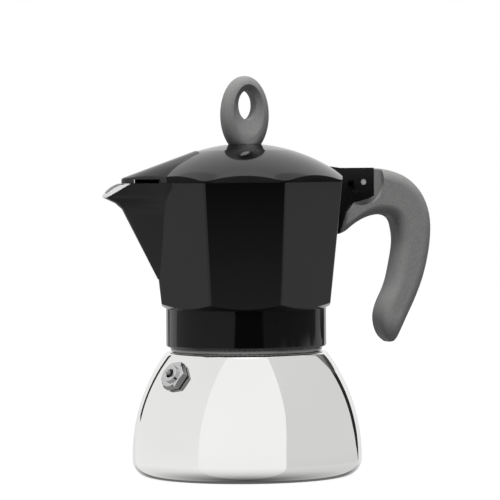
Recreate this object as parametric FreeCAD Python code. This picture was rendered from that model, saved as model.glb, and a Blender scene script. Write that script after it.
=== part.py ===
"""Stove-top moka pot for four cups: steel boiler, octagonal collector, hinged lid.

Millimetres. Z is up from the table, the pot's axis is Z, the spout points to -X and
the handle to +X, so the pot is a mirror image of itself in the XZ plane apart from its
screw thread and its safety valve.
"""
import FreeCAD, Part
import math
import os

Vec = FreeCAD.Vector
UP = Vec(0, 0, 1)
ORIGIN = Vec(0, 0, 0)
DIAGONAL = math.sqrt(0.5)
# How far a cutting tool stands past what it cuts, and how deep two fused solids overlap
PAST = 8.0
OVERLAP = 0.5
# Gap of a push fit
SLIP = 0.02

# Boiler
BASE_FLAT_R = 44.5
BASE_CORNER_R = 7.5
BOILER_R = 52.0
BELL_Z = 9.0
BELL_ARC_R = 79.0
SHOULDER_Z = 56.3
SHOULDER_ROUND = 2.7
NECK_RING_R = 34.4
NECK_RING_TOP = 57.6
NECK_R = 32.8
NECK_BORE_R = 30.3
NECK_TOP = 70.0
BOILER_WALL = 1.6
BOILER_FLOOR = 3.0
BELL_MID_Z = 34.0
INNER_SHOULDER_Z = 54.7
NECK_BORE_FOOT = 57.5
NECK_RING_SLOPE = 1.4
NECK_CHAMFER = 0.5

# Screw thread between boiler and collector
LEAD = 3.0
THREAD_HEIGHT = 1.0
THREAD_ROOT_W = 1.6
THREAD_CREST_W = 0.7
THREAD_BITE = 0.2
THREAD_PLAY = 0.05
MALE_START_Z = 60.8
MALE_TURNS = 2.4
FEMALE_ROOT_R = 34.15
FEMALE_TURNS = 1.6

# Gasket, filter plate and funnel
FUNNEL_RIM_T = 1.2
FUNNEL_RIM_R = 32.3
BASKET_R = 29.5
BASKET_WALL = 0.9
BASKET_FLOOR_Z = 51.0
TUBE_R = 5.0
TUBE_WALL = 0.8
TUBE_FOOT_Z = 7.0
TUBE_TOP_Z = 42.4
CONE_FOOT_Z = 43.0
CONE_DROP = (0.8, 0.6)
SOCKET_FOOT_Z = 38.0
STRAINER_T = 0.7
STRAINER_PLAY = (0.3, 0.05)
SIEVE_HOLE_R = 0.7
SIEVE_RINGS = 4
SIEVE_REACH = 0.86
GASKET_BORE_R = 26.5
GASKET_R = 32.9
GASKET_T = 3.2
GASKET_CHAMFER = 0.4
SEAT_Z = NECK_TOP + FUNNEL_RIM_T + GASKET_T
FILTER_R = 26.3
FILTER_DROP = 1.8
FILTER_T = 0.7
FILTER_RIM_W = 0.9

# Collector
COLLAR_R = 36.3
COLLAR_BOTTOM = 58.5
UNDERSIDE_SLOPE = math.tan(math.radians(30))
UNDERSIDE_Z = 75.8
RIM_Z = 132.7
RIM_APOTHEM = 43.6
BODY_TAPER = 5.2 / 49.7
BODY_CORNER_R = 2.0
BODY_WALL = 3.0
BODY_FOOT_Z = 74.0
COLLAR_ROUND = 1.0
ENVELOPE_R = 60.0
ABOVE_RIM = 140.0
BOWL_Z = (77.0, 136.0)
BOWL_BOSS_R = 10.5
BOWL_FLOOR = (34.5, 78.3)
UNDER_ROOF = ((25.0, 0.8), (7.0, 78.5))
NECK_HEADROOM = 0.4
GASKET_FIT = 0.2
SPOUT_ROOT_Z = 90.0
SPOUT_RIM_OFFSET = 12.55
SPOUT_WALL = 2.2
SPOUT_BACK_X = 34.0
# Height, reach and nose radius of the spout's sections
SPOUT_ROOT = (SPOUT_ROOT_Z - 0.4, 42.6, 0.2)
CHANNEL_ROOT = (101.0, 48.2, 1.2)
SPOUT_FLARE = [(118.6, 58.0, 2.4), (121.3, 59.4, 2.7), (124.0, 62.7, 3.1), (126.5, 68.4, 3.4),
               (RIM_Z + 1.0, 70.6, 3.8)]
CHANNEL_SHARES = [1.0, 0.9, 0.75, 0.6, 0.6]
LIP_START_X = 58.4
LIP_TIP = (68.4, 126.5)
LIP_CROWN = (64.1, 130.7)
COLUMN_SPIGOT_R = 6.0
COLUMN_FLOOR_Z = 81.5
COLUMN_TOP = 122.0
COLUMN_BORE_R = 3.8
COLUMN_FOOT_Z = 78.2
COLUMN_FLANGE = (9.5, 1.2)
COLUMN_CONE = ((8.2, 2.6), (6.4, 3.0))
COLUMN_BORE_DROP = 4.5
WINDOW_HALF = 2.3
WINDOW_Z = (109.0, 116.0)

# Hinge
PIN_X = 54.9
PIN_Z = 132.3
PIN_R = 1.4
PIN_HALF = 8.7
LUG_HALF = 5.0
LUG_END_X = 61.7
LUG_TOP = 138.8
LUG_OUTLINE = [(43.0, 109.8), (44.5, 109.8), (48.0, 119.0), (51.3, 123.0), (58.5, 124.7),
               (LUG_END_X, 126.0), (LUG_END_X, LUG_TOP), (49.3, LUG_TOP), (49.3, RIM_Z), (44.8, RIM_Z)]
EAR_R = 4.8
EAR_INNER = 5.4
EAR_OUTER = 8.4
EAR_OUTLINE = [(40.0, 133.0), (36.6, 139.8), (46.7, 138.4), (55.4, PIN_Z + EAR_R), (PIN_X, PIN_Z),
               (50.4, 133.0)]
EAR_SLOT = (44.3, 60.0, 126.8, 145.0)
PIN_PRESS = 0.01
RUNNING_FIT = 0.06

# Lid
LID_GAP = 0.1
LID_APOTHEM = 43.8
LID_CORNER_R = 9.0
LID_SHELL = 1.8
DOME_R = 74.0
DOME_TOP = 150.2
BEAK_RIDGE_START = (25.0, 146.7)
BEAK_RIDGE_END = (57.9, 135.5)
BEAK_ROOF_R = 15.0
BEAK_TIP_X = 59.4
BEAK_NOSE_R = 5.2
BEAK_ROOT = (42.4, 11.8)
BEAK_BACK_X = 24.0
BEAK_ROUND = 1.4
VENT_X = -55.5
VENT_H = 1.7
VENT_W = 30.0
NEAR_VENT_L = 10.5
FAR_VENT_L = 5.0

# Knob
KNOB_Z = 163.1
KNOB_HALF_W = 11.2
KNOB_HALF_H = 17.6
KNOB_T = 10.8
KNOB_ROUND = 4.6
KNOB_DISH = (7.6, 12.0, 165.0)
KNOB_HOLE = (4.4, 6.7, 167.5)
KNOB_WEB_T = 7.0
KNOB_WASHER = (1.7, 4.5, 147.2, 148.2)
KNOB_SCREW_END = (156.0, 157.5)
KNOB_SCREW_HEAD = ((2.4, 2.2), (3.4, 1.3))

# Both screws: core of the thread, pilot hole and driver slot
SCREW_R = 1.5
PILOT_R = 1.52
SLOT_W = 0.8
SLOT_DEPTH = 0.9

# Handle
GRIP_HALF = 7.8
GRIP_ROUND = 5.2
POCKET_R = 10.7
TENON_END_X = 72.0
TENON_HALF = 3.0
TENON_Z = (124.5, 135.0)
TENON_FIT = 0.15
HANDLE_SCREW_X = 67.0
HANDLE_SCREW_HEAD = ((2.2, 117.6), (3.0, 118.4), 120.0)
HANDLE_SCREW_END = (131.0, 132.4)
HEAD_HOLE_R = 3.2
SHANK_HOLE_R = 1.75
PILOT_TOP = 133.0
# Where the grip meets the collector
GRIP_JOINT = [(44.85, 100.0), (44.85, 109.2), (48.25, 118.85), (51.4, 122.8), (58.55, 124.5),
              (61.85, 125.85), (61.85, 150.0), (20.0, 150.0), (20.0, 100.0)]
# The grip's sections: a point of its back, one of its belly, and what is off its half width
GRIP_STATIONS = [
    ((52.0, 138.9), (43.5, 108.3), 0.0), ((57.0, 138.8), (49.6, 111.3), 0.0),
    ((61.8, 138.6), (55.6, 115.0), 0.0), ((66.6, 138.2), (61.6, 117.0), 0.0),
    ((71.8, 137.1), (65.8, 117.3), 0.0), ((77.4, 135.0), (69.3, 116.8), 0.0),
    ((85.2, 128.6), (72.3, 114.6), 0.0), ((90.0, 118.5), (73.6, 110.8), 0.0),
    ((90.8, 110.3), (74.2, 106.0), 0.0), ((88.8, 95.5), (72.7, 95.3), 0.0),
    ((85.3, 84.4), (69.6, 84.0), 0.0), ((82.0, 77.0), (66.4, 77.6), 0.0),
    ((79.2, 71.6), (64.6, 72.2), 0.0), ((76.9, 67.3), (64.6, 68.0), 0.0),
    ((74.9, 63.7), (66.2, 63.0), 0.8), ((73.4, 60.8), (68.2, 60.2), 2.2),
    ((72.0, 58.9), (69.9, 58.6), 4.2)]

# Safety valve, measured outwards along its own axis from the boiler's outside
VALVE_ANGLE = math.radians(200.5)
VALVE_Z = 46.3
HEX_FLATS = 12.0
HEX_FOOT = 0.1
HEX_TOP = 3.3
BOSS_R = 4.0
BOSS_TOP = 4.6
BOSS_ROUND = 0.4
SHANK_R = 4.9
SHANK_FOOT = -9.0
CHAMBER_R = 3.2
CHAMBER_TOP = 2.0
VALVE_HOLE_R = SHANK_R + 0.15
PLUNGER_HOLE_R = 2.0
PLUNGER_R = 1.0
PLUNGER_TIP = 7.0
PLUNGER_CAP = 0.7
PLUNGER_HEAD_R = 2.9
PLUNGER_HEAD_Z = (-6.9, -6.0)
SPRING_R = 2.1
SPRING_WIRE_R = 0.3
SPRING_PITCH = 1.25
SPRING_LENGTH = 6.9
SPRING_FOOT = -5.45
NUT_FLATS = 13.0
NUT_Z = (-6.1, -3.1)
WASHER_R = 7.0
WASHER_TOP = -2.4
VALVE_SEAT_R = 1.9
VALVE_SEAT_TOP = -7.6


def xz(x, z):
    """A point of the pot's symmetry plane."""
    return Vec(x, 0, z)


def outline(start, *steps):
    """A closed face in the XZ plane; a step is a point, or a pair of points for an arc."""
    edges = []
    here = xz(*start)
    for step in steps + (start,):
        if isinstance(step[0], tuple):
            through = xz(*step[0])
            end = xz(*step[1])
            edges.append(Part.Arc(here, through, end).toShape())
        else:
            end = xz(*step)
            if here.distanceToPoint(end) < 1e-7:
                continue
            edges.append(Part.makeLine(here, end))
        here = end
    return Part.Face(Part.Wire(edges))


def turned(start, *steps):
    """A solid of revolution about Z from an XZ outline."""
    return outline(start, *steps).revolve(ORIGIN, UP, 360)


def cap(rim_r, rim_z, top):
    """The outline step for a round cap, centred on Z, from a rim up to its top."""
    rise = top - rim_z
    radius = (rim_r ** 2 + rise ** 2) / (2 * rise)
    half_lean = math.asin(rim_r / radius) / 2
    return (radius * math.sin(half_lean), top - radius * (1 - math.cos(half_lean))), (0, top)


def ring(inner, outer, bottom, top):
    """A plain ring about Z."""
    return turned((inner, bottom), (outer, bottom), (outer, top), (inner, top))


def rod(radius, bottom, top, x=0.0, y=0.0):
    """A round bar parallel to Z."""
    return Part.makeCylinder(radius, top - bottom, Vec(x, y, bottom))


def cross_rod(radius, half, x, z):
    """A round bar along Y, centred on the symmetry plane."""
    return Part.makeCylinder(radius, 2 * half, Vec(x, -half, z), Vec(0, 1, 0))


def block(x0, x1, half_y, z0, z1):
    """A box centred on the symmetry plane."""
    return Part.makeBox(x1 - x0, 2 * half_y, z1 - z0, Vec(x0, -half_y, z0))


def plate(face, y0, y1):
    """An XZ face made into a plate between two Y values."""
    plate_face = face.copy()
    plate_face.translate(Vec(0, y0, 0))
    return plate_face.extrude(Vec(0, y1 - y0, 0))


def hexagon(flats, bottom, top):
    """A hexagonal prism about Z with its corners chamfered at the top."""
    corner = flats / math.sqrt(3)
    points = []
    for k in range(7):
        angle = math.radians(60 * k)
        points.append(Vec(corner * math.cos(angle), corner * math.sin(angle), bottom))
    prism = Part.Face(Part.makePolygon(points)).extrude(Vec(0, 0, top - bottom))
    cap = turned((0, bottom - 1), (corner + 1, bottom - 1), (corner + 1, top - 1.2),
                 (flats / 2 - 0.2, top), (0, top))
    return prism.common(cap)


def helix_ridge(root, crest, start_z, turns):
    """A thread ridge from radius root to radius crest, right-handed, rising from start_z."""
    half_root = THREAD_ROOT_W / 2
    half_crest = THREAD_CREST_W / 2
    section = Part.makePolygon([
        xz(root, -half_root), xz(crest, -half_crest),
        xz(crest, half_crest), xz(root, half_root), xz(root, -half_root)])
    path = Part.Wire(Part.makeHelix(LEAD, LEAD * turns, root))
    ridge = path.makePipeShell([section], True, True)
    ridge.translate(Vec(0, 0, start_z))
    return ridge


def octagon(apothem, corner_r, z):
    """An octagon with rounded corners, a corner on each of the X and Y axes."""
    tan = math.tan(math.pi / 8)
    half = (apothem - corner_r) * tan
    tip_r = apothem / math.cos(math.pi / 8) - corner_r * (1 / math.cos(math.pi / 8) - 1)
    ends = []
    for k in range(9):
        facing = math.pi / 8 + k * math.pi / 4
        out = Vec(math.cos(facing), math.sin(facing), 0)
        along = Vec(-math.sin(facing), math.cos(facing), 0)
        centre = out * apothem + Vec(0, 0, z)
        ends.append((centre - along * half, centre + along * half))
    edges = []
    for k in range(8):
        corner = math.pi / 4 + k * math.pi / 4
        tip = Vec(tip_r * math.cos(corner), tip_r * math.sin(corner), z)
        edges.append(Part.makeLine(ends[k][0], ends[k][1]))
        edges.append(Part.Arc(ends[k][1], tip, ends[k + 1][0]).toShape())
    return Part.Wire(edges)


def body_apothem(z):
    """Half the collector's width across flats at a height."""
    return RIM_APOTHEM - (RIM_Z - z) * BODY_TAPER


def bell_radius(z, arc_r=BELL_ARC_R):
    """The boiler's radius on the bell, or on an arc inside it."""
    return BOILER_R - BELL_ARC_R + math.sqrt(arc_r ** 2 - (z - BELL_Z) ** 2)


def nose_wire(root, tip, nose_r, back_x, z):
    """A plan outline with two straight sides that run tangent into a round nose at -X."""
    px, py = root
    centre_x = -(tip - nose_r)
    reach = math.hypot(centre_x + px, py)
    bearing = math.atan2(-py, centre_x + px) - math.asin(nose_r / reach)
    run = math.sqrt(reach ** 2 - nose_r ** 2)
    side = Vec(math.cos(bearing), math.sin(bearing), 0)
    start = Vec(-px, py, z)
    touch = start + side * run
    back = Vec(-back_x, start.y + side.y * (-back_x - start.x) / side.x, z)
    mirror = [Vec(p.x, -p.y, p.z) for p in (back, touch)]
    nose = Part.Arc(touch, Vec(-tip, 0, z), mirror[1]).toShape()
    return Part.Wire([Part.makeLine(back, touch), nose, Part.makeLine(mirror[1], mirror[0]),
                      Part.makeLine(mirror[0], back)])


def spout_wire(z, tip, nose_r, inset):
    """The spout's plan outline at a height, or the channel's with an inset."""
    offset = max(0.4, SPOUT_RIM_OFFSET * (z - SPOUT_ROOT_Z) / (RIM_Z - SPOUT_ROOT_Z))
    corner = body_apothem(z) / math.cos(math.pi / 8)
    root = (corner - math.sin(math.pi / 8) * offset,
            math.cos(math.pi / 8) * offset - 1.1 * inset)
    inner_nose = max(min(0.5, nose_r), nose_r - 0.7 * inset)
    return nose_wire(root, tip - 1.35 * inset, inner_nose, SPOUT_BACK_X, z)


def make_boiler():
    """The steel bell with its threaded neck."""
    inner_arc = BELL_ARC_R - BOILER_WALL
    fillet_z = SHOULDER_Z - SHOULDER_ROUND
    fillet_r = bell_radius(fillet_z, BELL_ARC_R - SHOULDER_ROUND)
    lean = math.asin((fillet_z - BELL_Z) / (BELL_ARC_R - SHOULDER_ROUND))
    half_lean = (lean + math.pi / 2) / 2
    touch = (fillet_r + SHOULDER_ROUND * math.cos(lean),
             fillet_z + SHOULDER_ROUND * math.sin(lean))
    crown = (fillet_r + SHOULDER_ROUND * math.cos(half_lean),
             fillet_z + SHOULDER_ROUND * math.sin(half_lean))
    inner_corner = BASE_CORNER_R - BOILER_WALL
    shell = turned(
        (0, 0), (BASE_FLAT_R, 0),
        ((BASE_FLAT_R + BASE_CORNER_R * DIAGONAL, BASE_CORNER_R * (1 - DIAGONAL)),
         (BOILER_R, BASE_CORNER_R)),
        (BOILER_R, BELL_Z),
        ((bell_radius(BELL_MID_Z), BELL_MID_Z), touch),
        (crown, (fillet_r, SHOULDER_Z)),
        (NECK_RING_R, SHOULDER_Z), (NECK_RING_R, NECK_RING_TOP),
        (NECK_R, NECK_RING_TOP + NECK_RING_SLOPE), (NECK_R, NECK_TOP - NECK_CHAMFER),
        (NECK_R - NECK_CHAMFER, NECK_TOP), (NECK_BORE_R, NECK_TOP), (NECK_BORE_R, NECK_BORE_FOOT),
        (bell_radius(INNER_SHOULDER_Z, inner_arc), INNER_SHOULDER_Z),
        ((bell_radius(BELL_MID_Z, inner_arc), BELL_MID_Z), (BOILER_R - BOILER_WALL, BELL_Z)),
        (BOILER_R - BOILER_WALL, BOILER_FLOOR + inner_corner),
        ((BASE_FLAT_R + inner_corner * DIAGONAL, BOILER_FLOOR + inner_corner * (1 - DIAGONAL)),
         (BASE_FLAT_R, BOILER_FLOOR)),
        (0, BOILER_FLOOR))
    ridge = helix_ridge(NECK_R - THREAD_BITE, NECK_R + THREAD_HEIGHT, MALE_START_Z, MALE_TURNS)
    return shell.fuse(ridge).cut(on_valve_axis(rod(VALVE_HOLE_R, -PAST, PAST)))


def on_valve_axis(shape):
    """Moves a shape made about Z onto the safety valve's axis, square to the bell."""
    rise = math.asin((VALVE_Z - BELL_Z) / BELL_ARC_R)
    outward = Vec(math.cos(rise) * math.cos(VALVE_ANGLE),
                  math.cos(rise) * math.sin(VALVE_ANGLE), math.sin(rise))
    wall = Vec(bell_radius(VALVE_Z) * math.cos(VALVE_ANGLE),
               bell_radius(VALVE_Z) * math.sin(VALVE_ANGLE), VALVE_Z)
    placed = shape.copy()
    onto_axis = FreeCAD.Placement(wall, FreeCAD.Rotation(UP, outward))
    placed.Placement = onto_axis.multiply(shape.Placement)
    return placed


def make_valve():
    """The safety valve's pieces, by node name."""
    body = hexagon(HEX_FLATS, HEX_FOOT, HEX_TOP).fuse(rod(BOSS_R, HEX_TOP - OVERLAP, BOSS_TOP))
    body = body.fuse(rod(SHANK_R, SHANK_FOOT, HEX_FOOT + OVERLAP))
    body = body.cut(rod(CHAMBER_R, SHANK_FOOT - PAST, CHAMBER_TOP))
    body = body.cut(rod(PLUNGER_HOLE_R, 0, BOSS_TOP + PAST))
    rim = [e for e in body.Edges if abs(e.BoundBox.ZMin - BOSS_TOP) < 1e-6]
    body = body.makeFillet(BOSS_ROUND, rim)
    head_foot, head_top = PLUNGER_HEAD_Z
    cap_rim = PLUNGER_TIP - PLUNGER_CAP
    plunger = turned((0, head_foot), (PLUNGER_HEAD_R, head_foot), (PLUNGER_HEAD_R, head_top),
                     (PLUNGER_R, head_top), (PLUNGER_R, cap_rim), cap(PLUNGER_R, cap_rim, PLUNGER_TIP))
    coil = Part.Wire(Part.makeHelix(SPRING_PITCH, SPRING_LENGTH, SPRING_R))
    climb = SPRING_PITCH / (2 * math.pi * SPRING_R)
    wire = Part.Wire(Part.makeCircle(SPRING_WIRE_R, Vec(SPRING_R, 0, 0), Vec(0, 1, climb)))
    spring = coil.makePipeShell([wire], True, True)
    spring.translate(Vec(0, 0, SPRING_FOOT))
    nut_foot, nut_top = NUT_Z
    nut_hole = rod(SHANK_R + THREAD_PLAY, nut_foot - PAST, nut_top + PAST)
    pieces = {
        "valve_body": body,
        "valve_washer": ring(SHANK_R + 2 * THREAD_PLAY, WASHER_R, nut_top, WASHER_TOP),
        "valve_lock_nut": hexagon(NUT_FLATS, nut_foot, nut_top).cut(nut_hole),
        "valve_seat": ring(VALVE_SEAT_R, CHAMBER_R, SHANK_FOOT, VALVE_SEAT_TOP),
        "valve_seal": rod(PLUNGER_HEAD_R, VALVE_SEAT_TOP, head_foot),
        "valve_plunger": plunger,
        "valve_spring": spring,
    }
    return {name: on_valve_axis(piece) for name, piece in pieces.items()}


def make_funnel():
    """The coffee basket, its strainer and its tube."""
    wall_in = BASKET_R - BASKET_WALL
    rim_top = NECK_TOP + FUNNEL_RIM_T
    low_drop, high_drop = CONE_DROP
    socket_r = TUBE_R + BASKET_WALL
    basket = turned(
        (wall_in, rim_top), (wall_in, BASKET_FLOOR_Z), (TUBE_R, CONE_FOOT_Z), (TUBE_R, SOCKET_FOOT_Z),
        (socket_r, SOCKET_FOOT_Z), (socket_r, CONE_FOOT_Z - low_drop),
        (BASKET_R, BASKET_FLOOR_Z - high_drop), (BASKET_R, NECK_TOP), (FUNNEL_RIM_R, NECK_TOP),
        (FUNNEL_RIM_R, rim_top))
    tube = ring(TUBE_R - TUBE_WALL, TUBE_R - SLIP, TUBE_FOOT_Z, TUBE_TOP_Z)
    side_play, floor_play = STRAINER_PLAY
    strainer_z = BASKET_FLOOR_Z + floor_play
    strainer = perforated(wall_in - side_play, strainer_z, strainer_z + STRAINER_T)
    return {"funnel_basket": basket, "funnel_tube": tube, "funnel_strainer": strainer}


def perforated(radius, bottom, top):
    """A round plate with rings of small holes."""
    holes = []
    for k in range(1, SIEVE_RINGS + 1):
        pitch_r = radius * SIEVE_REACH * k / SIEVE_RINGS
        count = 6 * k
        for i in range(count):
            angle = 2 * math.pi * i / count
            holes.append(rod(SIEVE_HOLE_R, bottom - PAST, top + PAST,
                             pitch_r * math.cos(angle), pitch_r * math.sin(angle)))
    return rod(radius, bottom, top).cut(Part.makeCompound(holes))


def make_filter_plate():
    """The plate under the collector, with a rim that stands on the collector's seat."""
    bottom = SEAT_Z - FILTER_DROP
    disc = perforated(FILTER_R, bottom, bottom + FILTER_T)
    return disc.fuse(ring(FILTER_R - FILTER_RIM_W, FILTER_R, bottom, SEAT_Z))


def make_gasket():
    """The sealing ring between the funnel's rim and the collector."""
    bottom = NECK_TOP + FUNNEL_RIM_T
    return turned((GASKET_BORE_R, bottom + GASKET_CHAMFER), (GASKET_BORE_R + GASKET_CHAMFER, bottom),
                  (GASKET_R - GASKET_CHAMFER, bottom), (GASKET_R, bottom + GASKET_CHAMFER),
                  (GASKET_R, SEAT_Z), (GASKET_BORE_R, SEAT_Z))


def make_spout(inset):
    """The spout's outer form, or its channel with an inset."""
    root = CHANNEL_ROOT if inset else SPOUT_ROOT
    stem = Part.makeLoft([spout_wire(*section, inset) for section in (root, SPOUT_FLARE[0])], True, True)
    wires = [spout_wire(*section, inset * share) for section, share in zip(SPOUT_FLARE, CHANNEL_SHARES)]
    return stem.fuse(Part.makeLoft(wires, True, True))


def make_collector():
    """The octagonal casting with its collar, spout and hinge lug."""
    body = Part.makeLoft([octagon(body_apothem(z), BODY_CORNER_R, z) for z in (BODY_FOOT_Z, RIM_Z)],
                         True, True)
    foot = BODY_FOOT_Z - OVERLAP
    envelope = turned((0, foot), (COLLAR_R, foot), (COLLAR_R, UNDERSIDE_Z),
                      (ENVELOPE_R, UNDERSIDE_Z + (ENVELOPE_R - COLLAR_R) * UNDERSIDE_SLOPE),
                      (ENVELOPE_R, ABOVE_RIM), (0, ABOVE_RIM))
    body = body.common(envelope)
    tuck = COLLAR_ROUND * (1 - DIAGONAL)
    collar = turned((0, COLLAR_BOTTOM), (COLLAR_R - COLLAR_ROUND, COLLAR_BOTTOM),
                    ((COLLAR_R - tuck, COLLAR_BOTTOM + tuck), (COLLAR_R, COLLAR_BOTTOM + COLLAR_ROUND)),
                    (COLLAR_R, UNDERSIDE_Z + OVERLAP), (0, UNDERSIDE_Z + OVERLAP))
    body = body.fuse(collar).fuse(make_spout(0.0))

    bowl = Part.makeLoft([octagon(body_apothem(z) - BODY_WALL, BODY_CORNER_R, z) for z in BOWL_Z],
                         True, True)
    floor_r, floor_z = BOWL_FLOOR
    bowl = bowl.common(turned((0, COLUMN_FLOOR_Z), (BOWL_BOSS_R, COLUMN_FLOOR_Z), (floor_r, floor_z),
                              (ENVELOPE_R, floor_z), (ENVELOPE_R, ABOVE_RIM), (0, ABOVE_RIM)))
    lip_x, lip_z = LIP_TIP
    slope = (RIM_Z - lip_z) / (lip_x - LIP_START_X)
    past_x = lip_x + PAST
    lip = outline((-LIP_START_X, RIM_Z), ((-LIP_CROWN[0], LIP_CROWN[1]), (-lip_x, lip_z)),
                  (-past_x, RIM_Z - slope * (past_x - LIP_START_X)), (-past_x, ABOVE_RIM),
                  (-LIP_START_X, ABOVE_RIM))
    body = body.cut(bowl).cut(make_spout(SPOUT_WALL)).cut(plate(lip, -VENT_W, VENT_W))
    body = body.cut(block(-past_x, past_x, past_x, RIM_Z, ABOVE_RIM))

    gasket_r = GASKET_R + GASKET_FIT
    step_z = NECK_TOP + NECK_HEADROOM
    (roof_r, roof_rise), (well_r, well_z) = UNDER_ROOF
    below = COLLAR_BOTTOM - PAST
    under = turned((0, below), (FEMALE_ROOT_R, below), (FEMALE_ROOT_R, step_z), (gasket_r, step_z),
                   (gasket_r, SEAT_Z), (roof_r, SEAT_Z), (roof_r, SEAT_Z + roof_rise), (well_r, well_z),
                   (0, well_z))
    body = body.cut(under).cut(rod(COLUMN_SPIGOT_R, well_z - PAST, COLUMN_FLOOR_Z + PAST))
    crest = FEMALE_ROOT_R - THREAD_HEIGHT - THREAD_PLAY
    body = body.fuse(helix_ridge(FEMALE_ROOT_R + THREAD_BITE, crest, MALE_START_Z + LEAD / 2,
                                 FEMALE_TURNS))

    body = body.fuse(plate(outline(*LUG_OUTLINE), -LUG_HALF, LUG_HALF))
    body = body.fuse(block(LUG_END_X - OVERLAP, TENON_END_X, TENON_HALF, *TENON_Z))
    body = body.cut(cross_rod(PIN_R + PIN_PRESS, EAR_OUTER + PAST, PIN_X, PIN_Z))
    return body.cut(rod(PILOT_R, TENON_Z[0] - PAST, PILOT_TOP, HANDLE_SCREW_X))


def make_column():
    """The pipe that the coffee rises through, with two windows at its top."""
    spigot_r = COLUMN_SPIGOT_R - SLIP
    flange_r, flange_t = COLUMN_FLANGE
    (cone_r, cone_rise), (neck_r, cap_rise) = COLUMN_CONE
    neck_z = COLUMN_TOP - cap_rise
    column = turned(
        (COLUMN_BORE_R, COLUMN_FOOT_Z), (spigot_r, COLUMN_FOOT_Z), (spigot_r, COLUMN_FLOOR_Z),
        (flange_r, COLUMN_FLOOR_Z), (flange_r, COLUMN_FLOOR_Z + flange_t),
        (cone_r, COLUMN_FLOOR_Z + cone_rise), (neck_r, neck_z), cap(neck_r, neck_z, COLUMN_TOP),
        (0, neck_z), (COLUMN_BORE_R, COLUMN_TOP - COLUMN_BORE_DROP))
    return column.cut(block(-WINDOW_HALF, WINDOW_HALF, flange_r + PAST, *WINDOW_Z))


def grip_section(outer, inner, half_y):
    """A rounded cross-section of the grip between a point of its back and one of its belly."""
    back = xz(*outer)
    belly = xz(*inner)
    middle = (back + belly) * 0.5
    across = back - middle
    half_x = across.Length
    across.normalize()
    radius = min(GRIP_ROUND, 0.8 * half_x)
    flat_x = half_x - radius
    flat_y = half_y - radius
    bulge = radius * DIAGONAL

    def at(u, y):
        return middle + across * u + Vec(0, y, 0)

    edges = []
    for sx, sy in ((1, 1), (-1, 1), (-1, -1), (1, -1)):
        side = at(sx * half_x, sy * flat_y)
        corner = at(sx * (flat_x + bulge), sy * (flat_y + bulge))
        face = at(sx * flat_x, sy * half_y)
        if sx == sy:
            edges.append(Part.Arc(side, corner, face).toShape())
            edges.append(Part.makeLine(face, at(-sx * flat_x, sy * half_y)))
        else:
            edges.append(Part.Arc(face, corner, side).toShape())
            edges.append(Part.makeLine(side, at(sx * half_x, -sy * flat_y)))
    return Part.Wire(edges)


def slot(face_z):
    """The cutter for a driver's slot in a screw head that faces down."""
    return block(-PAST, PAST, SLOT_W / 2, face_z - PAST, face_z + SLOT_DEPTH)


def make_handle():
    """The hook-shaped grip and the screw that holds it to the collector's tenon."""
    sections = [grip_section(back, belly, GRIP_HALF - slim) for back, belly, slim in GRIP_STATIONS]
    grip = Part.makeLoft(sections, True, False)
    wide = GRIP_HALF + PAST
    grip = grip.cut(plate(outline(*GRIP_JOINT), -wide, wide))
    left_x, bottom = GRIP_JOINT[-1]
    top = GRIP_JOINT[-2][1]
    end_x = PIN_X + POCKET_R
    pocket = cross_rod(POCKET_R, wide, PIN_X, PIN_Z).fuse(block(left_x, end_x, wide, RIM_Z + OVERLAP, top))
    grip = grip.cut(pocket.cut(block(left_x, end_x + PAST, LUG_HALF, bottom, top)))
    low, high = TENON_Z
    grip = grip.cut(block(LUG_END_X - PAST, TENON_END_X + TENON_FIT, TENON_HALF + TENON_FIT,
                          low - TENON_FIT, high + TENON_FIT))
    (face_r, face_z), (head_r, round_z), head_top = HANDLE_SCREW_HEAD
    grip = grip.cut(rod(HEAD_HOLE_R, bottom, head_top, HANDLE_SCREW_X))
    grip = grip.cut(rod(SHANK_HOLE_R, head_top - OVERLAP, low, HANDLE_SCREW_X))
    end_z, tip_z = HANDLE_SCREW_END
    screw = turned((0, face_z), (face_r, face_z), (head_r, round_z), (head_r, head_top),
                   (SCREW_R, head_top), (SCREW_R, end_z), (0, tip_z))
    screw = screw.cut(slot(face_z))
    screw.translate(Vec(HANDLE_SCREW_X, 0, 0))
    return {"handle_grip": grip, "handle_screw": screw}


def make_lid():
    """The domed lid with its beak over the spout and its two hinge ears."""
    lid_bottom = RIM_Z + LID_GAP
    outer = lid_form(lid_bottom, 0.0)
    inner = lid_form(lid_bottom - PAST, LID_SHELL)
    lid = outer.cut(inner)
    vent_z = lid_bottom - OVERLAP
    vent_h = VENT_H + OVERLAP
    lid = lid.cut(Part.makeBox(NEAR_VENT_L, VENT_W, vent_h, Vec(VENT_X, -VENT_W, vent_z)))
    lid = lid.cut(Part.makeBox(FAR_VENT_L, VENT_W, vent_h, Vec(VENT_X, 0, vent_z)))
    for low, high in ((EAR_INNER, EAR_OUTER), (-EAR_OUTER, -EAR_INNER)):
        lid = lid.fuse(plate(outline(*EAR_OUTLINE), low, high))
        lid = lid.fuse(Part.makeCylinder(EAR_R, high - low, Vec(PIN_X, low, PIN_Z), Vec(0, 1, 0)))
    slot_x0, slot_x1, slot_z0, slot_z1 = EAR_SLOT
    lid = lid.cut(block(slot_x0, slot_x1, EAR_INNER, slot_z0, slot_z1))
    lid = lid.cut(cross_rod(PIN_R + RUNNING_FIT, EAR_OUTER + PAST, PIN_X, PIN_Z))
    return lid.cut(rod(KNOB_WASHER[0], DOME_TOP - PAST, DOME_TOP + PAST))


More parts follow.
